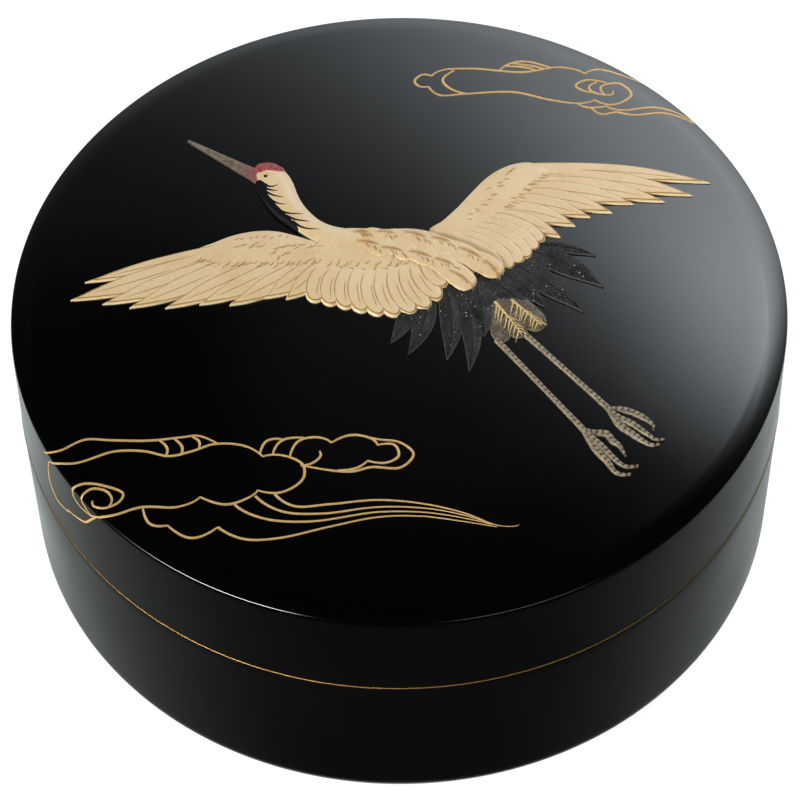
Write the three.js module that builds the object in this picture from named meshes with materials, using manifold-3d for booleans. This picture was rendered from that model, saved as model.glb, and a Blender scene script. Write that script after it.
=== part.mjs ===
// Round lacquered incense box: a hollow body with an inner lip, and a lid that lowers over the lip.
// The lid's top carries a flying crane in low relief, made of overlapping feathers.
// Millimetres, +Z up, the origin at the centre of the underside. +Y points to the back of the box.

import * as THREE from 'three';
import { mergeVertices } from 'three/addons/utils/BufferGeometryUtils.js';
import Module from 'manifold-3d';

const wasm = await Module();
wasm.setup();

// Driving dimensions of the box
const RADIUS = 40;
const HEIGHT = 33.4;
const SEGMENTS = 64;
const SEAM_HEIGHT = 20.36;
const SEAM_RADIUS = RADIUS - 0.16;
const SEAM_GAP = 0.3;
const FOOT_RADIUS = RADIUS - 0.7;
const FOOT_FILLET = 2.8;
const LIP_RISE = 4;
const LIP_THICKNESS = 1.2;
const LIP_BEVEL = 0.3;
const LIP_CLEARANCE = 0.3;
const LID_WALL = 2.3;
const LID_TOP = 2.6;
const FLOOR = 3;
const INSIDE_FILLET = 3;

// The lid's top: a shallow dome, a rounded shoulder and a crisp outer edge
const DOME_SLOPE = THREE.MathUtils.degToRad(2.4);
const SHOULDER_SLOPE = THREE.MathUtils.degToRad(28);
const SHOULDER_RADIUS = 5;
const EDGE_RADIUS = 0.5;
const DOME_RADIUS = RADIUS - EDGE_RADIUS - (SHOULDER_RADIUS - EDGE_RADIUS) * Math.sin(SHOULDER_SLOPE)
  + SHOULDER_RADIUS * Math.sin(DOME_SLOPE);
const DOME_RISE = DOME_RADIUS * Math.tan(DOME_SLOPE) / 2;

// Heights of the relief above the dome
const RELIEF_ROOT = 31.6;
const TERTIAL_LEVEL = 0.3;
const LEG_LEVEL = 0.3;
const PRIMARY_LEVEL = 0.34;
const SECONDARY_LEVEL = 0.42;
const COVERT_LEVEL = 0.52;
const BODY_LEVEL = 0.6;
const SCALE_LEVEL = 0.7;
const NECK_LEVEL = 0.54;
const HEAD_LEVEL = 0.6;
const BEAK_LEVEL = 0.42;
const TOE_STEP = 0.03;
const FEATHER_TILT = 0.07;
const FEATHER_STATIONS = 6;
const STATION_CROWDING = 1.6;
const SLIVER = 0.01;

const lacquer = () => new THREE.MeshStandardMaterial({ color: 0x0a0a0b, roughness: 0.12, metalness: 0 });

// Points of an arc in the profile plane. Angles are measured from straight up, turning outwards.
function arc(centreR, centreZ, radius, from, to, steps) {
  const points = [];
  for (let i = 0; i <= steps; i += 1) {
    const angle = from + (to - from) * i / steps;
    points.push(new THREE.Vector2(centreR + radius * Math.sin(angle), centreZ + radius * Math.cos(angle)));
  }
  return points;
}

function domeHeight(r) {
  return HEIGHT - DOME_RISE * (r / DOME_RADIUS) ** 2;
}

// A solid of revolution about Z. Its profile starts on the axis, runs outwards and up, and ends on the axis.
function turned(profile) {
  const geometry = new THREE.LatheGeometry(profile, SEGMENTS);
  geometry.rotateX(Math.PI / 2);
  return geometry;
}

function boxGeometry() {
  const innerRadius = SEAM_RADIUS - LID_WALL - LIP_CLEARANCE - LIP_THICKNESS;
  const lipOuter = innerRadius + LIP_THICKNESS;
  const ledge = SEAM_HEIGHT - SEAM_GAP / 2;
  const lipTop = ledge + LIP_RISE;
  const quarter = Math.PI / 2;
  return turned([
    new THREE.Vector2(0, 0),
    ...arc(FOOT_RADIUS - FOOT_FILLET, FOOT_FILLET, FOOT_FILLET, 2 * quarter, quarter, 5),
    new THREE.Vector2(SEAM_RADIUS, ledge),
    new THREE.Vector2(lipOuter, ledge),
    new THREE.Vector2(lipOuter, lipTop - LIP_BEVEL),
    new THREE.Vector2(lipOuter - LIP_BEVEL, lipTop),
    new THREE.Vector2(innerRadius + LIP_BEVEL, lipTop),
    new THREE.Vector2(innerRadius, lipTop - LIP_BEVEL),
    ...arc(innerRadius - INSIDE_FILLET, FLOOR + INSIDE_FILLET, INSIDE_FILLET, quarter, 2 * quarter, 4),
    new THREE.Vector2(0, FLOOR),
  ]);
}

function lidGeometry() {
  const innerRadius = SEAM_RADIUS - LID_WALL;
  const mouth = SEAM_HEIGHT + SEAM_GAP / 2;
  const shoulderEnd = new THREE.Vector2(
    RADIUS - EDGE_RADIUS + EDGE_RADIUS * Math.sin(SHOULDER_SLOPE),
    domeHeight(DOME_RADIUS) - SHOULDER_RADIUS * (Math.cos(DOME_SLOPE) - Math.cos(SHOULDER_SLOPE)),
  );
  const shoulderR = shoulderEnd.x - SHOULDER_RADIUS * Math.sin(SHOULDER_SLOPE);
  const shoulderZ = shoulderEnd.y - SHOULDER_RADIUS * Math.cos(SHOULDER_SLOPE);
  const edgeZ = shoulderEnd.y - EDGE_RADIUS * Math.cos(SHOULDER_SLOPE);
  const filletR = innerRadius - INSIDE_FILLET;
  const filletZ = domeHeight(filletR) - LID_TOP - INSIDE_FILLET;
  const quarter = Math.PI / 2;
  const domeRings = [0.82, 0.6, 0.33, 0].map((share) => share * DOME_RADIUS);
  const ceilingRings = [0, 0.5].map((share) => share * filletR);
  return turned([
    ...ceilingRings.map((r) => new THREE.Vector2(r, domeHeight(r) - LID_TOP)),
    ...arc(filletR, filletZ, INSIDE_FILLET, 0, quarter, 4),
    new THREE.Vector2(innerRadius, mouth),
    new THREE.Vector2(SEAM_RADIUS, mouth),
    ...arc(RADIUS - EDGE_RADIUS, edgeZ, EDGE_RADIUS, quarter, SHOULDER_SLOPE, 2),
    ...arc(shoulderR, shoulderZ, SHOULDER_RADIUS, SHOULDER_SLOPE, DOME_SLOPE, 3).slice(1),
    ...domeRings.map((r) => new THREE.Vector2(r, domeHeight(r))),
  ]);
}

function toManifold(geometry) {
  const bare = geometry.clone();
  bare.deleteAttribute('normal');
  bare.deleteAttribute('uv');
  const merged = mergeVertices(bare, 1e-5);
  return new wasm.Manifold(new wasm.Mesh({
    numProp: 3,
    vertProperties: new Float32Array(merged.attributes.position.array),
    triVerts: new Uint32Array(merged.index.array),
  }));
}

function toGeometry(manifold) {
  const mesh = manifold.simplify(SLIVER).getMesh();
  const geometry = new THREE.BufferGeometry();
  geometry.setAttribute('position', new THREE.BufferAttribute(mesh.vertProperties, 3));
  geometry.setIndex(new THREE.BufferAttribute(mesh.triVerts, 1));
  geometry.computeVertexNormals();
  return geometry;
}

const point = ([x, y]) => new THREE.Vector2(x, y);
const spline = (...points) => new THREE.SplineCurve(points.map(point));

// A form raised on the lid: its outline seen from above, and its height above the dome at each point
function raised(outline, heightAt) {
  const geometry = new THREE.ExtrudeGeometry(new THREE.Shape(outline), { depth: 1, bevelEnabled: false });
  const position = geometry.attributes.position;
  for (let i = 0; i < position.count; i += 1) {
    const x = position.getX(i);
    const y = position.getY(i);
    const top = domeHeight(Math.hypot(x, y)) + heightAt(x, y);
    position.setZ(i, position.getZ(i) > 0.5 ? top : RELIEF_ROOT);
  }
  return toManifold(geometry);
}

// Half-widths along a feather, as shares of its widest half, from 0 at the root to 1 at the tip
const rootTaper = (s) => 0.55 + 0.45 * Math.min(1, s / 0.35);
const pointed = (s) => rootTaper(s) * (1 - Math.max(0, (s - 0.5) / 0.5) ** 1.8);
const rounded = (s) => rootTaper(s) * Math.sqrt(1 - Math.max(0, (s - 0.72) / 0.28) ** 2);
const tapering = (s) => 1 - 0.75 * s;
const even = () => 1;

// A feather, beak, leg or toe: a strip along a curve, with its two sides at a half-width from it.
// Its stations crowd towards the tip, where its outline turns fastest.
function strip(curve, width, share, level, tilt = 0) {
  const left = [];
  const right = [];
  for (let i = 0; i <= FEATHER_STATIONS; i += 1) {
    const s = 1 - (1 - i / FEATHER_STATIONS) ** STATION_CROWDING;
    const centre = curve.getPoint(s);
    const along = curve.getTangent(s);
    const half = share(s) * width / 2;
    left.push(new THREE.Vector2(centre.x - along.y * half, centre.y + along.x * half));
    if (half > 0) {
      right.push(new THREE.Vector2(centre.x + along.y * half, centre.y - along.x * half));
    }
  }
  const root = curve.getPoint(0);
  const chord = curve.getPoint(1).sub(root).normalize();
  const heightAt = (x, y) => {
    const across = (chord.x * (y - root.y) - chord.y * (x - root.x)) / (width / 2);
    return level + tilt * THREE.MathUtils.clamp(across, -1, 1);
  };
  return raised([...left, ...right.reverse()], heightAt);
}

// A curve from a root to a tip that bows sideways by a share of its length
function bowed(root, tip, bow) {
  const middle = root.clone().lerp(tip, 0.5);
  const across = new THREE.Vector2(root.y - tip.y, tip.x - root.x);
  return new THREE.QuadraticBezierCurve(root, middle.addScaledVector(across, bow), tip);
}

// A row of feathers whose roots and tips follow two curves. Each one lies a little over the one before.
function fan({ count, roots, tips, width, endWidth = width, bow = 0, endBow = bow, share, level, tilt }) {
  const feathers = [];
  for (let i = 0; i < count; i += 1) {
    const t = i / (count - 1);
    const curve = bowed(roots.getPoint(t), tips.getPoint(t), THREE.MathUtils.lerp(bow, endBow, t));
    const wide = THREE.MathUtils.lerp(width, endWidth, t);
    feathers.push(strip(curve, wide, share, level + 0.004 * i, tilt));
  }
  return feathers;
}

// A smooth rounded form, such as the body, inside a closed curve through a few points
function pillow(points, level) {
  const outline = new THREE.SplineCurve([...points, points[0]].map(point)).getPoints(points.length * 3);
  return raised(outline.slice(0, -1), () => level);
}

function leftWing() {
  const lead = bowed(point([-19, 6.3]), point([-32.4, 3.0]), 0.02);
  return [
    strip(lead, 1.9, pointed, PRIMARY_LEVEL, -FEATHER_TILT),
    ...fan({
      count: 8,
      roots: spline([-20.5, 5.6], [-15.6, 5.6], [-11, 5.6], [-7.6, 4.8]),
      tips: spline([-33.8, 0.5], [-26.8, -0.7], [-18.2, -0.9], [-11.4, -0.1]),
      width: 2.8,
      bow: 0.04,
      share: pointed,
      level: PRIMARY_LEVEL,
      tilt: -FEATHER_TILT,
    }),
    ...fan({
      count: 8,
      roots: spline([-8, 4.4], [-4.6, 4.2], [-1.2, 4], [2.6, 4.6]),
      tips: spline([-8.7, -0.8], [-4.3, -1.8], [0.4, -2.7], [4.5, -0.9]),
      width: 2.3,
      bow: 0,
      endBow: 0.2,
      share: rounded,
      level: SECONDARY_LEVEL,
      tilt: -FEATHER_TILT,
    }),
    pillow([
      [-21.4, 6.5], [-14.2, 9.1], [-8.4, 7.5], [1, 7], [3.4, 4.2], [-2, 3.4], [-9, 4.6], [-19, 5.2],
    ], COVERT_LEVEL),
  ];
}

function rightWing() {
  const lead = bowed(point([14, 17]), point([32.9, 15.1]), 0.07);
  return [
    strip(lead, 1.9, pointed, PRIMARY_LEVEL, FEATHER_TILT),
    ...fan({
      count: 7,
      roots: spline([15, 15.6], [13, 14.4], [10.6, 12.6], [8.6, 10.6]),
      tips: spline([30.8, 13.4], [25.6, 12.2], [20.6, 10.7], [16.8, 7.7]),
      width: 2.6,
      bow: 0.07,
      endBow: 0.14,
      share: pointed,
      level: PRIMARY_LEVEL,
      tilt: FEATHER_TILT,
    }),
    ...fan({
      count: 6,
      roots: spline([8, 10], [6.6, 8.8], [5.4, 7.4]),
      tips: spline([15.1, 6.7], [13.3, 4.2], [10.6, 2.5]),
      width: 2.4,
      bow: 0.2,
      share: rounded,
      level: SECONDARY_LEVEL,
      tilt: FEATHER_TILT,
    }),
    pillow([
      [3.3, 8.6], [7.4, 13.4], [10.2, 16.7], [13.4, 18], [16.4, 17.4], [14.6, 14.6], [11.6, 11], [8.6, 8.4], [5.6, 6.6],
    ], COVERT_LEVEL),
  ];
}

// Long dark feathers that fan out behind the body, and the short ones at the thighs
function tail() {
  const leaf = (root, tip, width, bow) => strip(
    bowed(point(root), point(tip), bow), width, pointed, TERTIAL_LEVEL, FEATHER_TILT / 2,
  );
  const lower = fan({
    count: 5,
    roots: spline([1.2, -1.4], [3.6, -0.6], [6.4, 0.4]),
    tips: spline([-1, -6.4], [4, -8.8], [8.7, -8.2]),
    width: 2.3,
    bow: 0.1,
    share: pointed,
    level: TERTIAL_LEVEL,
    tilt: FEATHER_TILT / 2,
  });
  return [
    ...lower,
    leaf([7.2, 1.6], [8.8, -5.8], 3.4, 0.1),
    leaf([14, 6.2], [20.5, 4.9], 1.4, 0.12),
    leaf([12.8, 5.6], [21.1, 0.7], 2.8, 0.12),
    leaf([10.4, 4.4], [18.9, -2.6], 3, 0.12),
    leaf([7.6, 2.8], [15, -1.9], 2.8, 0.12),
    leaf([9, 0.4], [10.6, -6.4], 2, 0.05),
    leaf([9.6, 0.4], [12.7, -5.4], 2.2, 0.05),
    leaf([10, 0.2], [14.9, -4.4], 2.6, 0.05),
  ];
}

// A leg from the thigh to the ankle, and three toes that leave it one after the other
function leg(hip, ankle, toes) {
  const shank = new THREE.LineCurve(point(hip), point(ankle));
  return [
    strip(shank, 0.75, even, LEG_LEVEL),
    ...toes.map((toe, i) => {
      const knuckle = shank.getPoint(0.97 - 0.02 * i).toArray();
      return strip(spline(knuckle, ...toe), 0.8 - 0.03 * i, tapering, LEG_LEVEL + TOE_STEP * (i + 1));
    }),
  ];
}

function legs() {
  return [
    ...leg([10, -5.6], [18.4, -17.5], [
      [[20.6, -18], [21.9, -19.1], [22.5, -20.6]],
      [[20, -19.8], [21.6, -21.4], [23.5, -21.8]],
      [[19.4, -20.4], [20.9, -22.3], [22.7, -22.8]],
    ]),
    ...leg([12.8, -5], [21.1, -14.7], [
      [[23.3, -15], [24.8, -15.8], [25.3, -17.3]],
      [[23.1, -16.8], [24.8, -18.3], [26.4, -18.4]],
      [[22.6, -17.3], [24.2, -18.9], [25.9, -19.1]],
    ]),
  ];
}

// Two rows of rounded feathers that lap over each other down the back
function back() {
  const row = (count, roots, tips) => fan({
    count, roots, tips, width: 2.5, bow: 0.08, share: rounded, level: SCALE_LEVEL, tilt: FEATHER_TILT,
  });
  return [
    pillow([
      [-8.4, 7.4], [-6, 9.1], [0, 9.1], [3.3, 8.5], [7.6, 6.8], [10.8, 3.4], [7.9, 1], [4.6, 3], [0, 4.4], [-5, 5.2],
    ], BODY_LEVEL),
    ...row(5, spline([-3.4, 7.6], [1.4, 6.6], [4.6, 4]), spline([-0.6, 6], [4.2, 4.4], [7.7, 1.1])),
    ...row(6, spline([-4, 8.6], [2.4, 7.8], [6.8, 5.6]), spline([-1, 7.8], [5.6, 6], [10.7, 2.4])),
  ];
}

function head() {
  const neck = spline([-12.9, 16], [-12.1, 13.6], [-10.4, 11.2], [-7.8, 8.8], [-4.6, 7.2]);
  const upperBeak = new THREE.LineCurve(point([-14.4, 17]), point([-22, 22.1]));
  const lowerBeak = new THREE.LineCurve(point([-14.4, 16.1]), point([-21.6, 21.7]));
  return [
    strip(upperBeak, 1.3, tapering, BEAK_LEVEL),
    strip(lowerBeak, 1.1, tapering, BEAK_LEVEL - 0.06),
    strip(neck, 3.5, even, NECK_LEVEL),
    pillow([[-14.9, 17.8], [-13.3, 18.5], [-11.5, 17.1], [-10.9, 15.4], [-12.6, 14], [-14.6, 15.4]], HEAD_LEVEL),
  ];
}

function lidWithCrane() {
  const crane = [...tail(), ...legs(), ...leftWing(), ...rightWing(), ...back(), ...head()];
  return toGeometry(crane.reduce((solid, form) => solid.add(form), toManifold(lidGeometry())));
}

function piece(name, geometry) {
  const mesh = new THREE.Mesh(geometry, lacquer());
  mesh.name = name;
  return mesh;
}

const incenseBox = new THREE.Group();
incenseBox.add(piece('box', boxGeometry()));
incenseBox.add(piece('lid', lidWithCrane()));

export default incenseBox;
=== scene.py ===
"""A round lacquered incense box: black body and lid, a raised crane and gold line clouds on the lid.

The frame is the CAD model's, in metres. Drawing on the lid is worked out in millimetres on its plan,
with +X to the right and +Y to the back, and laid on the lid's surface by Surface.lay.
"""

import math

import bpy
import numpy as np
from mathutils import Matrix, Vector
from mathutils.geometry import delaunay_2d_cdt

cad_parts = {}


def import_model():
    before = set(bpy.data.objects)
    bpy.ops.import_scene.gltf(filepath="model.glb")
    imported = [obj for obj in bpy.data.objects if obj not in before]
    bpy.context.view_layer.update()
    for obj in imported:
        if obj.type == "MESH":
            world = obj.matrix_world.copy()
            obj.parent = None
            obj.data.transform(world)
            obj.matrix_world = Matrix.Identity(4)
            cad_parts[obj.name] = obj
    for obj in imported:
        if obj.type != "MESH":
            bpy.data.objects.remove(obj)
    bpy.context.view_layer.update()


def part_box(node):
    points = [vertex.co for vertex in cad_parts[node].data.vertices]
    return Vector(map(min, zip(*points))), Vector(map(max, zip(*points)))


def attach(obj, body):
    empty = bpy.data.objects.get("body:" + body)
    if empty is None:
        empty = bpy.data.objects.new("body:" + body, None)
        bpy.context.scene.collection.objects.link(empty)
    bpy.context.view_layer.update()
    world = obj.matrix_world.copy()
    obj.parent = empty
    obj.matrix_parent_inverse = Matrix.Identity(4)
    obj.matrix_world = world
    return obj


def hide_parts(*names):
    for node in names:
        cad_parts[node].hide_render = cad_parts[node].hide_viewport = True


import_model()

MM = 0.001
RNG = np.random.default_rng(7)

# The box, in millimetres, as the solids have it
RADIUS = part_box("lid")[1][0] / MM
HEIGHT = 33.4
SEAM_HEIGHT = 20.36
SEAM_RADIUS = RADIUS - 0.16
SEAM_GAP = 0.09
FOOT_RADIUS = RADIUS - 0.7
FOOT_FILLET = 2.8
LIP_RISE = 3.85
LIP_THICKNESS = 1.2
LIP_CLEARANCE = 0.3
LIP_BEVEL = 0.25
LID_WALL = 2.3
LID_TOP = 2.6
FLOOR = 3.0
INSIDE_FILLET = 3.0
MOUTH_FILLET = 0.12
BODY_EDGE = 0.06
BEAD = 0.09
BEAD_RISE = 0.05
BEAD_START = math.radians(30)
DOME_SLOPE = math.radians(2.4)
SHOULDER_SLOPE = math.radians(28)
SHOULDER_RADIUS = 5.0
EDGE_RADIUS = 0.5
QUARTER = math.pi / 2
DOME_RADIUS = (
    RADIUS - EDGE_RADIUS
    - (SHOULDER_RADIUS - EDGE_RADIUS) * math.sin(SHOULDER_SLOPE)
    + SHOULDER_RADIUS * math.sin(DOME_SLOPE)
)
DOME_RISE = DOME_RADIUS * math.tan(DOME_SLOPE) / 2
TURNING_STEPS = 288

# The camera stands where the photograph was taken from
CAMERA_PLACE = Vector((-0.0566, -284.408, 386.875)) * MM
CAMERA_PITCH = math.radians(52.535)
CAMERA_ROLL = math.radians(1.008)
CAMERA_LENS = 198.62
SENSOR = 36.0


# Node graphs

class Value:
    """What a node gives. Arithmetic on it adds math nodes."""

    def __init__(self, graph, socket):
        self.graph = graph
        self.socket = socket

    def __add__(self, other):
        return self.graph.math("ADD", self, other)

    def __sub__(self, other):
        return self.graph.math("SUBTRACT", self, other)

    def __rsub__(self, other):
        return self.graph.math("SUBTRACT", other, self)

    def __mul__(self, other):
        return self.graph.math("MULTIPLY", self, other)

    def __truediv__(self, other):
        return self.graph.math("DIVIDE", self, other)

    def __rtruediv__(self, other):
        return self.graph.math("DIVIDE", other, self)

    def __neg__(self):
        return self * -1.0

    def __abs__(self):
        return self.graph.math("ABSOLUTE", self)

    __radd__ = __add__
    __rmul__ = __mul__


class Graph:
    """Short calls for building a node tree."""

    def __init__(self, tree):
        self.tree = tree
        tree.nodes.clear()

    def feed(self, sockets, values):
        for socket, value in zip(sockets, values):
            if isinstance(value, Value):
                self.tree.links.new(value.socket, socket)
            else:
                socket.default_value = value

    def set(self, node, **inputs):
        """Inputs by name, with Base_Color for Base Color."""
        self.feed([node.inputs[name.replace("_", " ")] for name in inputs], inputs.values())
        return node

    def node(self, kind, **inputs):
        return self.set(self.tree.nodes.new("ShaderNode" + kind), **inputs)

    def outputs(self, node):
        return [Value(self, socket) for socket in node.outputs]

    def math(self, operation, *values):
        made = self.node("Math")
        made.operation = operation
        self.feed(made.inputs, values)
        return self.outputs(made)[0]

    def least(self, first, second):
        return self.math("MINIMUM", first, second)

    def most(self, first, second):
        return self.math("MAXIMUM", first, second)

    def smooth(self, value, low, high, to_low=0.0, to_high=1.0):
        made = self.node("MapRange")
        made.interpolation_type = "SMOOTHSTEP"
        self.set(made, Value=value, From_Min=low, From_Max=high, To_Min=to_low, To_Max=to_high)
        return self.outputs(made)[0]

    def band(self, value, low, high, soft):
        """1 between two values, falling off softly outside them."""
        below_high = self.smooth(value, high - soft, high + soft, 1.0, 0.0)
        return self.smooth(value, low - soft, low + soft) * below_high

    def mix(self, share, first, second):
        made = self.node("Mix")
        made.data_type = "RGBA"
        self.feed([made.inputs[k] for k in (0, 6, 7)], (share, first, second))
        return self.outputs(made)[2]

    def noise(self, place, scale, detail=2.0, roughness=0.5):
        made = self.node("TexNoise", Vector=place, Scale=scale, Detail=detail, Roughness=roughness)
        return self.outputs(made)[0]

    def attribute(self, name, output="Fac"):
        made = self.node("Attribute")
        made.attribute_name = name
        return Value(self, made.outputs[output])

    def split(self, vector):
        return self.outputs(self.node("SeparateXYZ", Vector=vector))

    def feather(self):
        """How far along its feather a point is, how far across it in millimetres, and the feather's seed."""
        return self.split(self.attribute("feather", "Vector"))

    def coordinates(self, name):
        return Value(self, self.node("TexCoord").outputs[name])

    def place(self):
        return self.coordinates("Object")

    def bump(self, height, strength, distance):
        return self.outputs(self.node("Bump", Height=height, Strength=strength, Distance=distance))[0]


def srgb(red, green, blue):
    """A colour as seen on a screen, 0 to 255, in the linear values that shaders take."""
    def linear(value):
        value /= 255
        return value / 12.92 if value < 0.04045 else ((value + 0.055) / 1.055) ** 2.4
    return (linear(red), linear(green), linear(blue), 1.0)


def material(name, build):
    """A new material. build gets its graph, and gives its Principled shader's inputs."""
    made = bpy.data.materials.new(name)
    made.use_nodes = True
    graph = Graph(made.node_tree)
    shader = graph.node("BsdfPrincipled", **build(graph))
    graph.node("OutputMaterial", Surface=graph.outputs(shader)[0])
    return made


# The lid's and box's profiles, as points of radius and height

def arc(centre_r, centre_z, radius, start, end, steps):
    """Points of an arc. Angles are measured from straight up, turning outwards."""
    angles = np.linspace(start, end, steps + 1)
    return [(centre_r + radius * math.sin(a), centre_z + radius * math.cos(a)) for a in angles]


def between_ends(start, end, steps):
    """Points of a straight wall, without its ends."""
    return [tuple(a + (b - a) * t for a, b in zip(start, end)) for t in np.linspace(0, 1, steps)[1:-1]]


def dome_height(r):
    return HEIGHT - DOME_RISE * (np.asarray(r) / DOME_RADIUS) ** 2


def lid_outside():
    """From the top of the dome, out over the shoulder and down to the mouth."""
    dome_edge = float(dome_height(DOME_RADIUS))
    end_r = RADIUS - EDGE_RADIUS + EDGE_RADIUS * math.sin(SHOULDER_SLOPE)
    end_z = dome_edge - SHOULDER_RADIUS * (math.cos(DOME_SLOPE) - math.cos(SHOULDER_SLOPE))
    shoulder_r = end_r - SHOULDER_RADIUS * math.sin(SHOULDER_SLOPE)
    shoulder_z = end_z - SHOULDER_RADIUS * math.cos(SHOULDER_SLOPE)
    edge_z = end_z - EDGE_RADIUS * math.cos(SHOULDER_SLOPE)
    mouth = SEAM_HEIGHT + SEAM_GAP / 2
    bead_top = mouth + BEAD * (1 + math.cos(BEAD_START))
    return [
        *((r, float(dome_height(r))) for r in np.linspace(0, DOME_RADIUS, 26)[:-1]),
        *arc(shoulder_r, shoulder_z, SHOULDER_RADIUS, DOME_SLOPE, SHOULDER_SLOPE, 12),
        *arc(RADIUS - EDGE_RADIUS, edge_z, EDGE_RADIUS, SHOULDER_SLOPE, QUARTER, 8)[1:],
        *between_ends((RADIUS, edge_z), (SEAM_RADIUS, bead_top), 12),
        *arc(SEAM_RADIUS + BEAD_RISE - BEAD, mouth + BEAD, BEAD, BEAD_START, 2 * QUARTER, 8),
    ]


def lid_inside():
    """From the mouth up the inside wall and in over the ceiling."""
    inner = SEAM_RADIUS - LID_WALL
    mouth = SEAM_HEIGHT + SEAM_GAP / 2
    fillet_r = inner - INSIDE_FILLET
    fillet_z = float(dome_height(fillet_r)) - LID_TOP - INSIDE_FILLET
    return [
        *arc(inner + MOUTH_FILLET, mouth + MOUTH_FILLET, MOUTH_FILLET, 2 * QUARTER, 3 * QUARTER, 3),
        *arc(fillet_r, fillet_z, INSIDE_FILLET, QUARTER, 0, 8),
        *((r, float(dome_height(r)) - LID_TOP) for r in np.linspace(fillet_r, 0, 8)[1:]),
    ]


def box_profile():
    """From the middle of the underside, up the outside, over the lip and down to the floor."""
    inner = SEAM_RADIUS - LID_WALL - LIP_CLEARANCE - LIP_THICKNESS
    lip = inner + LIP_THICKNESS
    ledge = SEAM_HEIGHT - SEAM_GAP / 2
    top = ledge + LIP_RISE
    return [
        *((r, 0.0) for r in np.linspace(0, FOOT_RADIUS - FOOT_FILLET, 8)[:-1]),
        *arc(FOOT_RADIUS - FOOT_FILLET, FOOT_FILLET, FOOT_FILLET, 2 * QUARTER, QUARTER, 10),
        *between_ends((FOOT_RADIUS, FOOT_FILLET), (SEAM_RADIUS, ledge), 16),
        *arc(SEAM_RADIUS - BODY_EDGE, ledge - BODY_EDGE, BODY_EDGE, QUARTER, 0, 4),
        (lip, ledge),
        *arc(lip - LIP_BEVEL, top - LIP_BEVEL, LIP_BEVEL, QUARTER, 0, 4),
        *arc(inner + LIP_BEVEL, top - LIP_BEVEL, LIP_BEVEL, 0, -QUARTER, 4),
        *arc(inner - INSIDE_FILLET, FLOOR + INSIDE_FILLET, INSIDE_FILLET, QUARTER, 2 * QUARTER, 8),
        *((r, FLOOR) for r in np.linspace(inner - INSIDE_FILLET, 0, 6)[1:]),
    ]


def turned(name, profile, materials, material_at):
    """A closed solid of revolution. material_at gives each band's material from its radius and height."""
    ring = np.linspace(0, 2 * math.pi, TURNING_STEPS, endpoint=False)
    turn = np.stack((np.cos(ring), np.sin(ring)), 1)
    points, rows = [], []
    for r, z in profile:
        start = len(points)
        if r < 1e-6:
            points.append((0.0, 0.0, z))
            rows.append([start] * TURNING_STEPS)
        else:
            points.extend((r * c, r * s, z) for c, s in turn)
            rows.append(list(range(start, start + TURNING_STEPS)))
    faces, bands = [], []
    for (low, high), (a, b) in zip(zip(rows, rows[1:]), zip(profile, profile[1:])):
        band = material_at((a[0] + b[0]) / 2, (a[1] + b[1]) / 2)
        for i in range(TURNING_STEPS):
            j = (i + 1) % TURNING_STEPS
            corners = list(dict.fromkeys((low[i], low[j], high[j], high[i])))
            faces.append(corners)
            bands.append(band)
    return solid(name, np.array(points), faces, materials, bands)


def added(name, data):
    """A new object, linked to the scene."""
    made = bpy.data.objects.new(name, data)
    bpy.context.scene.collection.objects.link(made)
    return made


def solid(name, points, faces, materials, bands=None, sharp=35):
    """An object from points in millimetres, with smooth faces and sharp edges past an angle in degrees."""
    mesh = bpy.data.meshes.new(name)
    mesh.from_pydata((points * MM).tolist(), [], faces)
    for given in materials:
        mesh.materials.append(given)
    if bands is not None:
        mesh.polygons.foreach_set("material_index", bands)
    mesh.polygons.foreach_set("use_smooth", [True] * len(mesh.polygons))
    mesh.update()
    mesh.set_sharp_from_angle(angle=math.radians(sharp))
    return added(name, mesh)


class Surface:
    """The lid's outside, unrolled: a plan point's distance from the middle is measured along the profile."""

    def __init__(self, profile):
        fine = np.array(profile)
        steps = np.diff(fine, axis=0)
        lengths = np.hypot(*steps.T)
        self.run = np.concatenate(([0], np.cumsum(lengths)))
        self.profile = fine
        middle = (self.run[1:] + self.run[:-1]) / 2
        self.normal_run = np.concatenate(([0], middle))
        normals = np.stack((-steps[:, 1], steps[:, 0]), 1) / lengths[:, None]
        self.normals = np.vstack(([0, 1], normals))

    def lay(self, plan, height):
        """Plan points, in millimetres, as points in space at a height above the surface."""
        plan = np.asarray(plan, float)
        reach = np.hypot(plan[..., 0], plan[..., 1])
        r, z = (np.interp(reach, self.run, self.profile[:, k]) for k in (0, 1))
        out, up = (np.interp(reach, self.normal_run, self.normals[:, k]) for k in (0, 1))
        size = np.hypot(out, up)
        r, z = r + height * out / size, z + height * up / size
        stretch = np.where(reach > 1e-9, r / np.maximum(reach, 1e-9), 1.0)
        return np.stack((plan[..., 0] * stretch, plan[..., 1] * stretch, z), -1)


# Curves on the lid's plan

def unit(vectors):
    return vectors / np.maximum(np.linalg.norm(vectors, axis=-1, keepdims=True), 1e-12)


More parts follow.
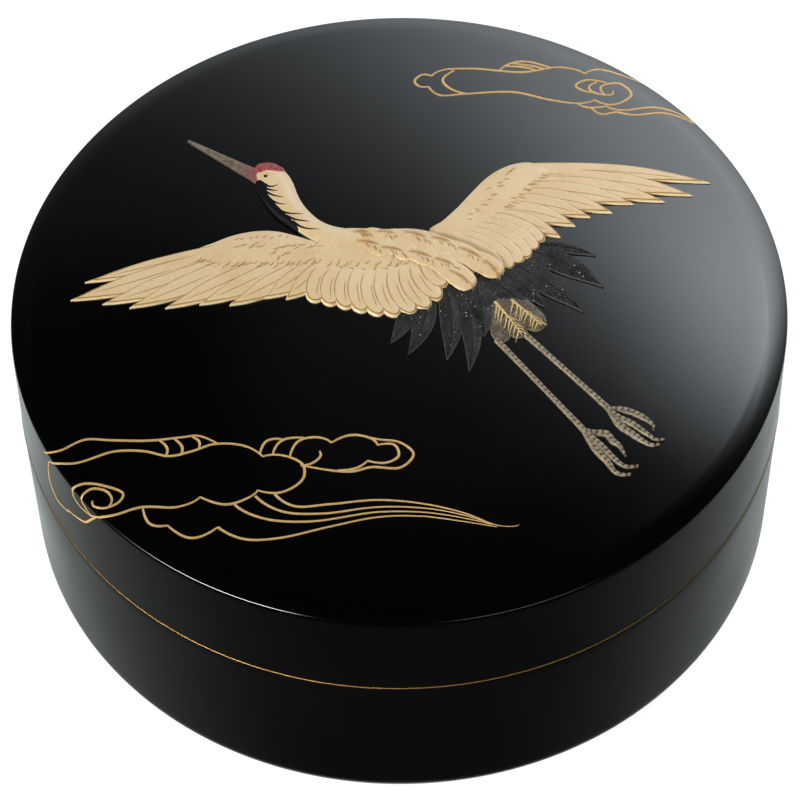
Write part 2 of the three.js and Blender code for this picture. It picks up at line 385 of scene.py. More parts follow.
def spline(*points, closed=False, spacing=0.2):
    """A smooth curve through a few points."""
    given = [np.array(p, float) for p in points]
    if closed:
        given = [given[-1], *given, given[0], given[1]]
    else:
        before, after = (3 * a - 3 * b + c for a, b, c in (given[:3], given[:-4:-1]))
        given = [before, *given, after]
    curve = []
    for a, b, c, d in zip(given, given[1:], given[2:], given[3:]):
        ab, bc, cd = (math.sqrt(np.linalg.norm(q - p)) for p, q in ((a, b), (b, c), (c, d)))
        into = bc * ((b - a) / ab - (c - a) / (ab + bc) + (c - b) / bc)
        leaving = bc * ((c - b) / bc - (d - b) / (bc + cd) + (d - c) / cd)
        for t in np.linspace(0, 1, max(2, round(bc * bc / spacing)), endpoint=False):
            blend = (2 * t**3 - 3 * t**2 + 1, t**3 - 2 * t**2 + t, -2 * t**3 + 3 * t**2, t**3 - t**2)
            curve.append(blend[0] * b + blend[1] * into + blend[2] * c + blend[3] * leaving)
    return np.array(curve if closed else [*curve, given[-2]])


def bowed(root, tip, bow):
    """A curve from a root to a tip that bows to its left by a share of its length."""
    root, tip = np.array(root, float), np.array(tip, float)
    chord = tip - root
    middle = (root + tip) / 2 + bow * np.array((-chord[1], chord[0]))
    t = np.linspace(0, 1, 40)[:, None]
    return (1 - t) ** 2 * root + 2 * t * (1 - t) * middle + t**2 * tip


def along(path, share):
    """Points of a path at shares of its length."""
    run = np.concatenate(([0], np.cumsum(np.hypot(*np.diff(path, axis=0).T))))
    return np.stack([np.interp(np.asarray(share) * run[-1], run, path[:, k]) for k in (0, 1)], -1)


def length(path):
    return float(np.hypot(*np.diff(path, axis=0).T).sum())


def distance(points, loop):
    """How far points lie from a closed outline."""
    best = np.full(points.shape[:-1], np.inf)
    for a, b in zip(loop, np.roll(loop, -1, 0)):
        side = b - a
        share = np.clip((points - a) @ side / max(side @ side, 1e-12), 0, 1)
        best = np.minimum(best, np.linalg.norm(points - a - share[..., None] * side, axis=-1))
    return best


def inside(points, loop):
    """Which points lie within a closed outline."""
    x, y = points[:, 0], points[:, 1]
    odd = np.zeros(len(points), bool)
    for (ax, ay), (bx, by) in zip(loop, np.roll(loop, -1, 0)):
        crosses = (ay > y) != (by > y)
        odd ^= crosses & (x < ax + (y - ay) * (bx - ax) / (by - ay if by != ay else 1e-12))
    return odd


# Half-widths along a feather, as shares of its widest half, from 0 at the root to 1 at the tip

def root_taper(s):
    return 0.7 + 0.3 * np.minimum(1, s / 0.35)


def pointed(s):
    return root_taper(s) * (1 - np.maximum(0, (s - 0.5) / 0.5) ** 1.8)


def rounded(s):
    return root_taper(s) * np.sqrt(1 - np.maximum(0, (s - 0.72) / 0.28) ** 2)


def leaf(s):
    return np.sin(np.pi * (0.16 + 0.84 * s**0.9)) ** 0.8 * (1 - s**6) ** 0.5


def tapering(s):
    return 1 - 0.75 * s


def brushed(s):
    """A brush stroke: thin at both ends and fullest a third of the way along."""
    return np.sin(np.pi * s**0.65) ** 0.8


def rise(share):
    """A rounded shoulder, from 0 at an edge to 1 where the form is full."""
    return 1 - (1 - np.clip(share, 0, 1)) ** 2


def round_back(across, low):
    """A section like a rod's, from a low share at its sides to 1 in the middle."""
    return low + (1 - low) * np.sqrt(np.clip(1 - across**2, 0, 1))


# Forms laid on the lid

SINK = -0.35
COLUMNS = np.array([-1, -0.94, -0.84, -0.68, -0.45, -0.2, 0, 0.2, 0.45, 0.68, 0.84, 0.94, 1])
NO_EDGE = 9.0
NEAR = 0.3
TUCK_END = 0.35
DROOP_START = 0.6
DROOP_REACH = 0.3
lid_surface = Surface(lid_outside())


class Form:
    """Closed forms gathered into one piece.

    Each point carries what its colours need: how far along and across its feather it is, its distance
    to the outline in millimetres, how much ink and what tone of it lies there, and whether it is lined.
    """

    def __init__(self):
        self.points, self.faces, self.count = [], [], 0
        self.tops = []
        self.drawing = {"feather": [], "edge": [], "ink": [], "tone": [], "lined": []}

    def add(self, points, faces, **drawing):
        self.points.append(points)
        self.faces.extend([i + self.count for i in face] for face in faces)
        self.count += len(points)
        blank = {"feather": (0, NO_EDGE, 0), "edge": NO_EDGE, "ink": 0.0, "tone": 0.0, "lined": 0.0}
        for name, default in blank.items():
            width = (len(points), 3) if name == "feather" else (len(points),)
            self.drawing[name].append(np.broadcast_to(drawing.get(name, default), width))

    def level_at(self, plan):
        """The highest level of what lies close to each plan point."""
        tops = np.vstack(self.tops)
        near = np.linalg.norm(np.asarray(plan)[..., None, :] - tops[:, :2], axis=-1) < NEAR
        return np.where(near, tops[:, 2], 0.0).max(-1)

    def make(self, name, finish):
        made = solid(name, np.vstack(self.points), self.faces, [finish], sharp=50)
        for key, parts in self.drawing.items():
            kind = "FLOAT_VECTOR" if key == "feather" else "FLOAT"
            held = made.data.attributes.new(key, kind, "POINT")
            held.data.foreach_set("vector" if key == "feather" else "value", np.concatenate(parts).ravel())
        return lid_piece(made)


def lid_piece(made):
    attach(made, "root")
    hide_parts("lid")
    return made


def feather_height(level, tilt=0.0, low=0.92, soft=0.16):
    """A low arched form, tilted across so that one side of it laps over its neighbour."""
    def height(plan, across, edge):
        return (level + tilt * across) * (low + (1 - low) * rise(edge / soft))
    return height


def strip(
    form, path, width, share, height, *,
    stations=28, columns=COLUMNS, crowd=1.6, depth=None, flip=1, tuck=0.0, droop=0.0, **drawing,
):
    """A feather, leg or line: a closed form along a path. It ends in a point where its width does.

    As shares of its height, tuck is how much lower its root lies, and droop how much lower its tip's rim.
    """
    s = 1 - (1 - np.linspace(0, 1, stations + 1)) ** crowd
    centre = along(path, s)
    ahead = unit(along(path, np.minimum(s + 0.01, 1)) - along(path, np.maximum(s - 0.01, 0)))
    side = np.stack((-ahead[:, 1], ahead[:, 0]), -1)
    half = share(s) * width / 2
    across = half[:, None] * columns
    plan = centre[:, None] + side[:, None] * across[..., None]
    edge = distance(plan, np.vstack((plan[:, 0], plan[::-1, -1])))
    top = height(plan, np.broadcast_to(columns, across.shape), edge)
    top = top * (1 - tuck * np.clip(1 - s / TUCK_END, 0, 1))[:, None]
    drooping = np.clip((s - DROOP_START) / DROOP_REACH, 0, 1)[:, None]
    top = top * (1 - droop * drooping * (1 - rise(edge / DROOP_REACH)))
    low = np.full_like(top[:, :2], SINK) if depth is None else top[:, [-1, 0]] - depth
    ring = np.concatenate((plan, plan[:, [-1, 0]]), 1)
    level = np.concatenate((top, low), 1)
    aside = np.concatenate((across, across[:, [-1, 0]]), 1) * flip
    reach = np.concatenate((edge, edge[:, [-1, 0]]), 1)
    rows, size = ring.shape[:2]
    ends_in_point = bool(half[-1] < 1e-6)
    if ends_in_point:
        rows -= 1
    points = lid_surface.lay(ring[:rows], level[:rows]).reshape(-1, 3)
    seed = drawing.pop("seed", 0.0)
    ahead_share = np.broadcast_to(s[:, None], aside.shape)
    feather = np.stack((ahead_share, aside, np.full(aside.shape, seed)), -1)
    given = {"feather": feather[:rows].reshape(-1, 3), "edge": reach[:rows].ravel()}
    faces = [list(range(size))]
    for i in range(rows - 1):
        for k in range(size):
            a, b = i * size + k, i * size + (k + 1) % size
            faces.append([a, a + size, b + size, b])
    last = (rows - 1) * size
    if ends_in_point:
        points = np.vstack((points, lid_surface.lay(ring[-1:, 0], level[-1:, 0])))
        given["feather"] = np.vstack((given["feather"], (1, 0, seed)))
        given["edge"] = np.append(given["edge"], 0.0)
        faces.extend([last + k, len(points) - 1, last + (k + 1) % size] for k in range(size))
    else:
        faces.append([last + k for k in reversed(range(size))])
    for name, value in drawing.items():
        if callable(value):
            value = value(s[:rows, None], aside[:rows]).ravel()
            value = np.append(value, [0.0] * ends_in_point)
        given[name] = value
    form.add(points, faces, **given)
    if depth is None:
        form.tops.append(np.concatenate((plan, top[..., None]), -1).reshape(-1, 3))


def pillow(form, loop, height, *, spacing=0.4, insets=(0.07, 0.18, 0.36), **drawing):
    """A rounded form inside a closed outline, with finer faces along its edge."""
    area = np.sum(loop[:, 0] * np.roll(loop[:, 1], -1) - loop[:, 1] * np.roll(loop[:, 0], -1))
    loop = loop if area > 0 else loop[::-1]
    ahead = unit(np.roll(loop, -1, 0) - np.roll(loop, 1, 0))
    inward = np.stack((-ahead[:, 1], ahead[:, 0]), -1)
    low, high = loop.min(0), loop.max(0)
    rows = np.arange(low[1], high[1], spacing * 0.87)
    columns = np.arange(low[0], high[0], spacing)
    grid = np.array([(x + spacing / 2 * (i % 2), y) for i, y in enumerate(rows) for x in columns])
    kept = [loop]
    for inset in insets:
        ring = loop + inward * inset
        kept.append(ring[(distance(ring, loop) > 0.97 * inset) & inside(ring, loop)])
    kept.append(grid[inside(grid, loop) & (distance(grid, loop) > insets[-1] + spacing / 2)])
    flat = np.vstack(kept)
    found = delaunay_2d_cdt([Vector(p) for p in flat], [], [list(range(len(loop)))], 1, 1e-5)
    plan = np.array([tuple(p) for p in found[0]])
    place = {i: k for k, sources in enumerate(found[3]) for i in sources}
    rim = [place[i] for i in range(len(loop))]
    edge = distance(plan, loop)
    top = height(plan, np.zeros(len(plan)), edge)
    count = len(plan)
    points = lid_surface.lay(np.vstack((plan, plan[rim])), np.append(top, np.full(len(rim), SINK)))
    faces = [list(face) for face in found[2]]
    for k in range(len(rim)):
        after = (k + 1) % len(rim)
        faces.append([rim[k], count + k, count + after, rim[after]])
    faces.append([count + k for k in reversed(range(len(rim)))])
    form.add(points, faces, edge=np.append(edge, np.zeros(len(rim))), **drawing)
    form.tops.append(np.column_stack((plan, top)))


def above(height, lift):
    """A height a little over another form's, measured from that form's own outline."""
    return lambda plan, across, edge: height(plan) + lift * rise(edge / 0.12)


def over(loop, level, soft, low):
    """The height of a pillow at any place on the plan."""
    def height(plan, across=None, edge=None):
        reach = distance(plan, loop) if edge is None else edge
        return level * (low + (1 - low) * rise(reach / soft))
    return height


def spread(count, *points):
    """Points evenly along a smooth curve."""
    return along(spline(*points), np.linspace(0, 1, count))


def fan(
    form, roots, tips, *,
    width, bow, share, level, tilt, flip, end_bow=None, low=0.92, lined=1.0, **drawing,
):
    """A row of feathers, each with its root and its tip. Each lies a little over the one before."""
    end_bow = bow if end_bow is None else end_bow
    for i, (root, tip) in enumerate(zip(roots, tips)):
        path = bowed(root, tip, bow + (end_bow - bow) * i / (len(tips) - 1))
        height = feather_height(level + LAP * i, tilt, low)
        strip(
            form, path, width, share, height,
            flip=flip, seed=RNG.random(), tuck=TUCK, droop=DROOP, lined=lined, **drawing,
        )


# The crane. Its heights above the dome, in millimetres, are those of the solid

TERTIAL_LEVEL = 0.3
LEG_LEVEL = 0.3
PRIMARY_LEVEL = 0.34
SECONDARY_LEVEL = 0.42
COVERT_LEVEL = 0.5
BODY_LEVEL = 0.6
SCALE_LEVEL = 0.65
NECK_LEVEL = 0.56
BEAK_LEVEL = 0.42
COVERT_SOFT = 2.4
COVERT_LOW = 0.58
TILT = 0.025
LAP = 0.006
TUCK = 0.25
DROOP = 0.45
STROKE_LIFT = 0.012
DASH_WIDTH = 0.17


def thin_line(form, path, width, share, lift, **drawing):
    """A line of few faces, a little above what lies there."""
    strip(
        form, path, width, share, lambda plan, across, edge: form.level_at(plan) + lift,
        stations=12, columns=np.linspace(-1, 1, 3), crowd=1.0, depth=0.1, **drawing,
    )


def stroke(form, path, width, tone=0.0, strength=1.0):
    """A brush stroke of ink on what lies there, fading to nothing at its sides."""
    def ink(s, across):
        sides = (1 - np.abs(across) / (width / 2 + 1e-9)).clip(0, 1) ** 0.4
        return strength * sides * np.sin(np.pi * np.clip(s, 0.02, 0.98)) ** 0.4
    thin_line(form, path, width, brushed, STROKE_LIFT, ink=ink, tone=tone, edge=NO_EDGE)


def dashes(form, line, count, size, turn, scatter, bow=0.28):
    """A row of short curved dashes, as small covert feathers are drawn. turn is in degrees."""
    for t in (np.arange(count) + 0.5) / count:
        start = along(line, t) + RNG.normal(0, scatter, 2)
        angle = math.radians(turn) + RNG.normal(0, 0.25)
        reach = size * RNG.uniform(0.7, 1.25)
        end = start + reach * np.array((math.cos(angle), math.sin(angle)))
        stroke(form, bowed(start, end, bow), DASH_WIDTH, strength=RNG.uniform(0.7, 1.0))


LEFT_PRIMARY_ROOTS = (
    (-18.4, 5.9), (-16.8, 5.4), (-15.6, 5.4), (-12.2, 5.3), (-10.8, 4.9), (-8.4, 4.9), (-7.5, 4.8),
    (-6.9, 4.7),
)
LEFT_PRIMARY_TIPS = (
    (-33.8, 0.5), (-30.5, -0.2), (-27.7, -0.8), (-24, -1), (-20.5, -0.7), (-17.4, -0.9), (-13.8, -0.1),
    (-11.6, -0.3),
)
LEFT_COVERTS = (
    (-21.4, 6.1), (-18.9, 7.5), (-17.1, 8.3), (-15.2, 8.75), (-13.3, 8.8), (-12, 8.55), (-10.6, 8.05),
    (-8.2, 7.15), (1, 7), (3.2, 4.6), (-2, 3.4), (-9, 4.2), (-14.5, 4.3), (-19, 4.7),
)
RIGHT_PRIMARY_TIPS = (
    (30.9, 13.1), (28, 12.2), (24.7, 11.9), (22.4, 10.7), (20.1, 10.1), (18.5, 8.9), (16.9, 7.4),
)
RIGHT_COVERTS = (
    (3.3, 8.4), (4.7, 9.7), (6.3, 11.5), (7.8, 13.5), (9.5, 15.6), (11.1, 16.85), (12.6, 17.5),
    (14.2, 17.6), (16.2, 16.6), (15, 14.8), (11.8, 11), (8.6, 8.2), (5.6, 6.4),
)
# Rows of dashes on the coverts: the line they follow, how many, their size, turn and scatter, and bow
LEFT_ROWS = (
    (((-20.4, 5.9), (-19.3, 5), (-17, 4.75), (-12, 4.75), (-7.6, 4.8)), 24, 0.95, 218, 0.12),
    (((-16.4, 6.7), (-15.3, 7), (-13.4, 7.2)), 8, 0.95, 208, 0.12),
    (((-12.6, 6.1), (-11.6, 6.6), (-10.4, 6.8)), 6, 0.95, 208, 0.12),
    (((-12.4, 5.6), (-11.6, 5.6), (-10.8, 5.6)), 4, 0.7, 215, 0.15),
    (((-10.2, 6.7), (-9, 6.8), (-7.4, 6.9)), 6, 0.8, 205, 0.15),
    (((-17, 7.6), (-14, 8.1), (-11, 7.9)), 8, 0.5, 205, 0.12),
    (((-7, 4.6), (-3, 4.4), (1.6, 4.6)), 12, 0.9, 232, 0.15),
)
RIGHT_ROWS = (
    (((15.2, 16.1), (13, 13.6), (10.8, 11)), 14, 0.9, 4, 0.12, -0.1),
    (((10.4, 13.4), (8.6, 11.4), (7.4, 9.4)), 9, 0.6, 5, 0.3),
    (((12.6, 16.4), (11, 14.8), (9.6, 13.4)), 8, 0.6, 15, 0.3),
)


def wing(name, flip, leading, primaries, secondaries, coverts, rows):
    """The leading feather, two rows of feathers over it, the coverts over those and the dashes on top."""
    form = Form()
    root, tip, bow, width, seed = leading
    strip(
        form, bowed(root, tip, bow), width, pointed, feather_height(PRIMARY_LEVEL, flip * TILT),
        flip=flip, seed=seed, droop=DROOP, lined=1.0,
    )
    fan(form, share=pointed, level=PRIMARY_LEVEL, tilt=flip * TILT, flip=flip, **primaries)
    fan(form, share=rounded, level=SECONDARY_LEVEL, tilt=flip * TILT, flip=flip, **secondaries)
    loop = spline(*coverts, closed=True)
    pillow(form, loop, over(loop, COVERT_LEVEL, COVERT_SOFT, COVERT_LOW))
    for line, *row in rows:
        dashes(form, spline(*line), *row)
    return form.make(name, ivory)


def left_wing():
    return wing(
        "crane_left_wing", -1, ((-15.5, 7.25), (-32.4, 2.8), 0.01, 1.8, 0.4),
        dict(roots=LEFT_PRIMARY_ROOTS, tips=LEFT_PRIMARY_TIPS, width=2.45, bow=0.04),
        dict(
            roots=spread(10, (-7.3, 4), (-4, 3.4), (-1, 3.4), (3, 4.8)),
            tips=spread(10, (-8.5, -0.8), (-5, -1.8), (-0.9, -2.8), (2.5, -2.3), (4.2, -1), (4.9, 0.9)),
            width=2.15, bow=-0.17, end_bow=-0.2,
        ),
        LEFT_COVERTS, LEFT_ROWS,
    )


def right_wing():
    return wing(
        "crane_right_wing", 1, ((13, 16.8), (32.9, 14.9), 0.05, 1.9, 0.7),
        dict(
            roots=spread(7, (14.6, 15.6), (12.8, 14.2), (10.6, 12.4), (8.6, 10.4)),
            tips=RIGHT_PRIMARY_TIPS, width=2.5, bow=0.07, end_bow=0.14,
        ),
        dict(
            roots=spread(6, (8, 9.8), (6.6, 8.6), (5.4, 7.2)),
            tips=spread(6, (15.1, 6.7), (13.3, 4.2), (10.6, 2.5)), width=2.4, bow=0.2,
        ),
        RIGHT_COVERTS, RIGHT_ROWS,
    )


# Brush strokes across the back, each from its thick end to its fine one
BACK_STROKES = (
    ((-4.7, 8.35), (-3, 8.05)), ((-2.2, 8.1), (-0.2, 7.8)), ((0.4, 8.05), (3.1, 7.1)),
    ((3.3, 7.2), (5.6, 6.4)), ((6.1, 5.8), (8.7, 4.2)), ((8.8, 4.1), (10.3, 1.9)),
    ((-4.4, 7), (-1.8, 6.2)), ((-1.9, 6), (0.7, 5.3)), ((1, 5.4), (3.6, 4.4)), ((3.7, 4.4), (5.8, 3.3)),
    ((5.1, 2.8), (7.4, 0.9)),
)


def body():
    form = Form()
    loop = spline(
        (-8.4, 7.2), (-5.9, 8.75), (-4.2, 8.85), (-1.4, 8.65), (1.4, 8.65), (3.2, 8.25), (7.4, 6.3),
        (9.9, 4), (8.5, 3.1), (6.6, 2), (4.6, 3), (0, 4.4), (-5, 5.2),
        closed=True,
    )
    pillow(form, loop, over(loop, BODY_LEVEL, COVERT_SOFT, COVERT_LOW))
    rows = (
        (spread(5, (-3.4, 7), (1.2, 6), (4.4, 3.6)), spread(5, (-0.6, 5.4), (4, 3.8), (7.6, 0.5))),
        (spread(6, (-4, 7.6), (2.2, 6.9), (6.4, 4.9)), spread(6, (-1, 6.9), (5.4, 5.2), (10.7, 2.2))),
    )
    for roots, tips in rows:
        fan(
            form, roots, tips, width=2.5, bow=0.08, share=rounded, level=SCALE_LEVEL, tilt=0.015, flip=1,
            low=0.96, lined=0.0, edge=NO_EDGE,
        )
    for start, end in BACK_STROKES:
        path = bowed(start, end, 0.12)
        stroke(form, path, 0.5, tone=1.0, strength=0.9)
        dashes(form, along(path, [0.25, 0.95]) + (0.2, -0.3), 5, 0.75, -66, 0.1, bow=0.1)
    return form.make("crane_body", ivory)


# The neck's back and front, and the head, on one outline
HEAD_LOOP = (
    (-14.9, 17.28), (-14.2, 18.03), (-12.9, 17.98), (-11.6, 16.78), (-10.9, 15.38), (-10.3, 13.38),
    (-9.5, 11.78), (-8.2, 10.18), (-6.8, 9.3), (-5, 8.7), (-4, 7.6), (-5.6, 6.6), (-8.4, 7.2), (-9.6, 8.18),
    (-11.3, 9.88), (-13, 11.78), (-14.3, 13.88), (-14.7, 15.28),
)
THROAT_LOOP = (
    (-14.75, 15.68), (-14.5, 14.18), (-13.8, 12.68), (-12.7, 10.88), (-11.5, 9.68), (-10.4, 8.78),
    (-10.3, 8.93), (-10.7, 9.68), (-11.5, 10.78), (-12.7, 12.38), (-13.4, 13.48), (-13.6, 14.08),
    (-13.6, 14.88), (-14.4, 15.78),
)
EYE = np.array((-13.75, 16.17))
EYE_RADIUS = 0.2
EYE_LIFT = 0.1
THROAT_LIFT = 0.03
# Each barb's root, middle and tip
THROAT_BARBS = (
    ((-13.8, 15.08), (-13.2, 14.68), (-12.4, 14.98)),
    ((-13.8, 14.58), (-13.1, 14.18), (-12.4, 14.18)),
    ((-13.7, 14.08), (-12.9, 13.48), (-11.8, 13.18)),
    ((-13.5, 13.38), (-12.6, 12.48), (-11.5, 12.18)),
    ((-12.6, 11.78), (-11.3, 10.98), (-9.6, 10.88)),
    ((-11.6, 10.78), (-10.5, 10.08), (-9, 9.78)),
    ((-10.9, 9.98), (-9.7, 8.98), (-8, 8.68)),
)


def head():
    loop = spline(*HEAD_LOOP, closed=True)
    height = over(loop, NECK_LEVEL, soft=1.3, low=0.5)
    form = Form()
    pillow(form, loop, height)
    made = [form.make("crane_head", ivory)]

    black = Form()
    throat = spline(*THROAT_LOOP, closed=True)
    pillow(black, throat, above(height, THROAT_LIFT), insets=(0.07, 0.16), spacing=0.25)
    for points in THROAT_BARBS:
        strip(
            black, spline(*points), 0.3, lambda s: (1 - s) ** 0.6,
            above(height, THROAT_LIFT), stations=16, depth=0.3, crowd=1.0,
        )
    turn = np.linspace(0, 2 * math.pi, 16, endpoint=False)
    circle = np.stack((np.cos(turn), np.sin(turn)), -1)
    pillow(black, EYE + EYE_RADIUS * circle, above(height, EYE_LIFT), insets=(0.06,), spacing=0.2)
    made.append(black.make("crane_throat", throat_black))

    crown = Form()
    cap = spline(
        (-15.05, 17), (-14.5, 18.05), (-13, 18.15), (-11.7, 17.05), (-12.4, 16.85), (-13.6, 17),
        (-14.4, 16.75),
        closed=True,
    )
    pillow(crown, cap, lambda plan, across, edge: height(plan) + 0.1 * rise(edge / 0.3), spacing=0.25)
    made.append(crown.make("crane_crown", crown_red))

    beak = Form()
    lower, upper = (feather_height(level, low=0.4) for level in (BEAK_LEVEL - 0.05, BEAK_LEVEL))
    strip(beak, bowed((-14.2, 15.6), (-21.7, 21.45), 0), 0.9, tapering, lower, flip=-1)
    strip(beak, bowed((-14.2, 16.5), (-22, 21.8), 0.01), 1.15, tapering, upper, flip=1)
    made.append(beak.make("crane_beak", horn))
    return made


# Each dark feather's root, tip, width and bow, in the order they lie in
DARK_FEATHERS = (
    ((1.5, -0.6), (-1, -6.4), 1.9, 0.1), ((3, -0.4), (0.8, -7.9), 2.2, 0.12),
    ((4.8, 0.8), (4.7, -8.8), 2.4, 0.13), ((5.8, 1.4), (6.9, -10.4), 2.3, 0.17),
    ((6, 2.6), (7.2, -5), 3.4, 0.1), ((14, 6.2), (20.5, 4.9), 1.4, 0.12),
    ((12.8, 5.8), (21.1, 0.7), 2.8, 0.12), ((10.4, 4.4), (18.9, -2.6), 3.0, 0.12),
    ((7.4, 2.8), (13.6, -2.4), 2.8, 0.1), ((8.6, 3.8), (15, -1.9), 2.9, 0.12),
    ((7.4, 2.4), (8.6, -5.8), 3.6, 0.1),
)
GROOVE_WIDTH = 0.08
GROOVE_DEPTH = 0.05


def dark_feathers():
    """Long dark feathers behind the body. Each point's ink says how far along it lies, in millimetres."""
    form = Form()

    def feathered(path, width, level):
        reach = length(path)
        def height(plan, across, edge):
            groove = np.exp(-((across * width / 2 / GROOVE_WIDTH) ** 2))
            return level * (0.55 + 0.45 * rise(edge / (0.35 * width))) - GROOVE_DEPTH * groove
        strip(
            form, path, width, leaf, height, stations=48, crowd=1.0, columns=np.linspace(-1, 1, 17),
            seed=RNG.random(), ink=lambda s, across: np.broadcast_to(s * reach, across.shape),
        )

    for i, (root, tip, width, bow) in enumerate(DARK_FEATHERS):
        feathered(bowed(root, tip, bow), width, TERTIAL_LEVEL + 0.01 * i)
    return form.make("crane_tail", charcoal)


# The thighs' feathers, each with its root, tip and width, and the shafts drawn on them
THIGH_FEATHERS = (
    ((9.6, -0.9), (10.5, -6.4), 2.1), ((11, -0.4), (14.5, -4.8), 2.7), ((10.2, -0.8), (12.4, -5.8), 2.3),
)
THIGH_SHAFTS = (((11.5, -1), (14.5, -4.4)), ((9.8, -1.2), (12.5, -5.6)))
VEIN_LIFT = 0.03


def thighs():
    form = Form()
    for i, (root, tip, width) in enumerate(THIGH_FEATHERS):
        height = feather_height(LEG_LEVEL + 0.05 + 0.01 * i, low=0.5, soft=0.9)
        strip(form, bowed(root, tip, 0.05), width, rounded, height, stations=40)

    def vein(start, end, width, bow):
        thin_line(form, bowed(start, end, bow), width, tapering, VEIN_LIFT, ink=1.0)

    for root, tip in THIGH_SHAFTS:
        shaft = bowed(root, tip, 0.03)
        vein(root, tip, 0.28, 0.03)
        for t in np.linspace(0.08, 0.88, 8):
            start = along(shaft, t)
            reach = RNG.uniform(1.5, 2.1) * (1.1 - 0.55 * t)
            vein(start, start + (RNG.uniform(-0.45, -0.1), -reach), 0.2, RNG.uniform(-0.12, 0.06))
        for t in np.linspace(0.45, 0.9, 6):
            start = along(shaft, t)
            vein(start, start + (RNG.uniform(0.7, 0.95), -RNG.uniform(0.2, 0.5)), 0.13, 0.12)
    return form.make("crane_thighs", veined)


# Each leg's hip and ankle, and its toes from the ankle on: one behind and two in front
LEGS = (
    ((9.9, -6), (18.5, -17.7), (
        (
            (18.8, -17.7), (19.6, -17.9), (20.6, -18), (21.2, -18.9), (21.8, -19.4), (22.1, -20),
            (22.4, -20.8),
        ),
        ((18.9, -18.7), (19.8, -20.4), (20.5, -21.3), (21.2, -22.6), (21.8, -23), (22.8, -23)),
        (
            (18.8, -18.1), (19.5, -19), (20.3, -19.9), (21.2, -21.1), (22.2, -22), (22.9, -22.1),
            (23.6, -22),
        ),
    )),
    ((12.9, -5.4), (21.1, -15), (
        ((21.4, -14.9), (22.3, -15), (23.8, -15.6), (24.9, -16.4), (25.4, -17.1), (25.3, -17.6)),
        ((21.5, -16), (22.1, -17), (23.2, -18), (24.1, -18.8), (25, -19.4), (25.9, -19.3)),
        (
            (21.4, -15.6), (22.3, -16.3), (23.2, -16.8), (24.1, -17.6), (24.9, -18.3), (25.5, -18.8),
            (26.4, -18.7),
        ),
    )),
)
BAND_SPACING = 0.6
SHANK_WIDTH, SHANK_SWELL = 0.64, 0.03
TOE_WIDTH, TOE_SWELL = 0.74, 0.1


def toe_share(s):
    """Narrow where it leaves the leg, swelling at two joints, and drawn out to a claw."""
    swell = np.exp(-(((s - 0.35) / 0.1) ** 2)) + np.exp(-(((s - 0.65) / 0.09) ** 2))
    claw = 1 - 0.8 * np.maximum(0, (s - 0.5) / 0.5) ** 1.2
    return (0.6 + 0.4 * np.minimum(1, s / 0.2) + 0.16 * swell) * claw


def legs():
    form = Form()

    def limb(path, width, share, level, swell):
        reach = length(path)
        def height(plan, across, edge):
            s = np.linspace(0, 1, plan.shape[0])[:, None]
            ring = 1 + swell * np.cos(2 * math.pi * s * reach / BAND_SPACING)
            return level * ring * round_back(across, 0.3)
        strip(
            form, path, width, share, height, stations=max(16, round(reach / 0.12)), crowd=1.0,
            columns=np.linspace(-1, 1, 9),
            ink=lambda s, across: np.broadcast_to(s * reach / BAND_SPACING, across.shape),
        )

    for hip, ankle, toes in LEGS:
        shank = bowed(hip, ankle, 0)
        limb(shank, SHANK_WIDTH, lambda s: 1.05 - 0.2 * np.sin(np.pi * s), LEG_LEVEL, SHANK_SWELL)
        for i, toe in enumerate(toes):
            knuckle = tuple(along(shank, 0.97 - 0.01 * i))
            limb(spline(knuckle, *toe), TOE_WIDTH, toe_share, LEG_LEVEL + 0.04 * i, TOE_SWELL)
    return form.make("crane_legs", scaled)


# Gold line clouds. Each stroke is a few points that a smooth line runs through

GOLD_WIDTH = 0.25
GOLD_HEIGHT = 0.05

